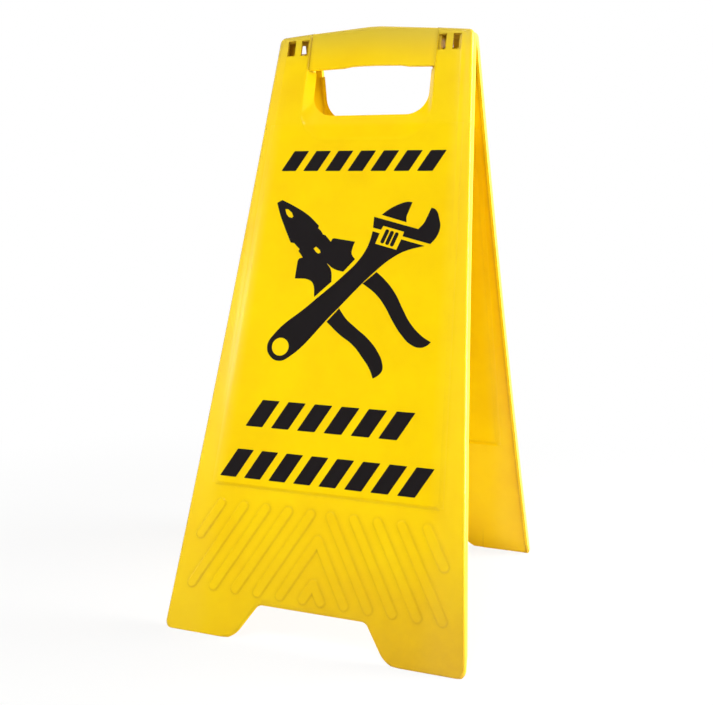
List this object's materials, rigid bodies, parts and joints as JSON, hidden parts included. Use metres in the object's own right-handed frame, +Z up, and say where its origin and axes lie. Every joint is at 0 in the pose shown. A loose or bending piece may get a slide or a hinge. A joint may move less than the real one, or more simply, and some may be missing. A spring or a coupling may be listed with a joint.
{
  "type": "a-frame caution sign",
  "caption": "Folding A-frame floor sign moulded in yellow plastic: sloping panels with feet, ribs, a raised print field and a dished hand hole, pinned together at the top to fold flat.",
  "frame": {"origin": "on the floor, midway between the front and rear feet and midway across the width, with the sign standing open", "axes": "+X to the right as seen from the front, +Y from the front half to the rear half, +Z up"},
  "size_m": [0.3028, 0.3518, 0.5966],
  "materials": {
    "moulding": "satin moulded polypropylene",
    "pin": "plain moulded plastic"
  },
  "bodies": {
    "front_half": {"front_panel": "moulding", "right_hinge_pin": "pin"},
    "rear_half": {"rear_panel": "moulding", "left_hinge_pin": "pin"}
  },
  "joints": [
    {"name": "fold", "type": "hinge", "parent": "front_half", "child": "rear_half", "pos_m": [0, 0, 0.56907], "axis": [-1, 0, 0], "range_deg": [0, 31.4]}
  ]
}
